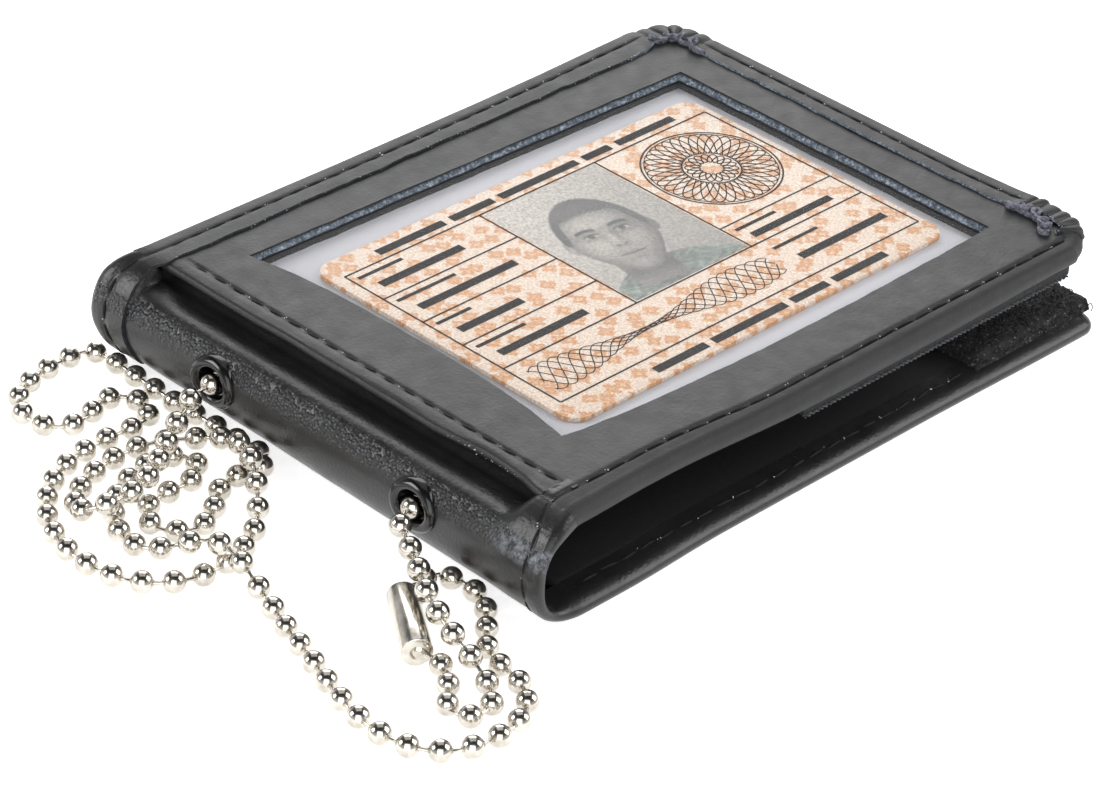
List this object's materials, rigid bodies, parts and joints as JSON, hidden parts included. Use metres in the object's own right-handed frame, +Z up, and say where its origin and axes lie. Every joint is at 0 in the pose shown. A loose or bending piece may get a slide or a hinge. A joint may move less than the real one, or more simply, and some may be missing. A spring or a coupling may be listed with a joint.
{
  "type": "id badge wallet",
  "caption": "Folding leather id badge wallet with a window pocket for a card, a half-round spine with eyelets and a beaded neck chain closed by a barrel connector.",
  "frame": {"origin": "centre of the wallet's underside, with the wallet lying on its back cover; the neck chain isn't counted", "axes": "+X from the spine to the opening edge, +Y along the spine, +Z up through the window"},
  "size_m": [0.1609, 0.111, 0.0187],
  "materials": {
    "leather": "smooth satin black leather",
    "lining": "matte woven lining",
    "board": "pressed board",
    "thread": "twisted thread",
    "loop_tape": "fuzzy loop pile",
    "hook_tape": "stiff hooks on woven tape",
    "black_metal": "gloss black enamel",
    "nickel": "polished nickel plate",
    "clear_vinyl": "clear flexible sheet",
    "grey_liner": "grey pocket liner",
    "card": "printed laminated card"
  },
  "bodies": {
    "back": {"back_leather": "leather", "back_board": "board", "back_lining": "lining", "back_edge_strip": "leather", "back_near_roll": "leather", "back_stitching": "thread", "loop_tape": "loop_tape", "spine_leather": "leather", "spine_lining": "lining", "spine_rim_far": "leather", "spine_rim_near": "leather", "eyelet_far": "black_metal", "eyelet_near": "black_metal", "eyelet_washer_far": "black_metal", "eyelet_washer_near": "black_metal", "cover_fold": "leather", "chain_far_strand": "nickel", "chain_middle_strand": "nickel", "chain_near_strand": "nickel", "chain_inner_strand": "nickel", "chain_connector": "nickel"},
    "front_cover": {"window_panel": "leather", "window_vinyl": "clear_vinyl", "pocket_liner": "grey_liner", "front_leather": "leather", "front_lining": "lining", "front_edge_strip": "leather", "front_near_roll": "leather", "front_stitching": "thread", "mouth_stitching": "thread", "hook_tape": "hook_tape"},
    "card": {"id_card": "card"}
  },
  "joints": [
    {"name": "cover_hinge", "type": "hinge", "parent": "back", "child": "front_cover", "pos_m": [-0.0536, 0, 0.01836], "axis": [0, -1, 0], "range_deg": [0, 180], "deforming": ["cover_fold"]},
    {"name": "card_slide", "type": "slide", "parent": "front_cover", "child": "card", "axis": [-1, 0, 0], "range_m": [0, 0.1015]}
  ]
}
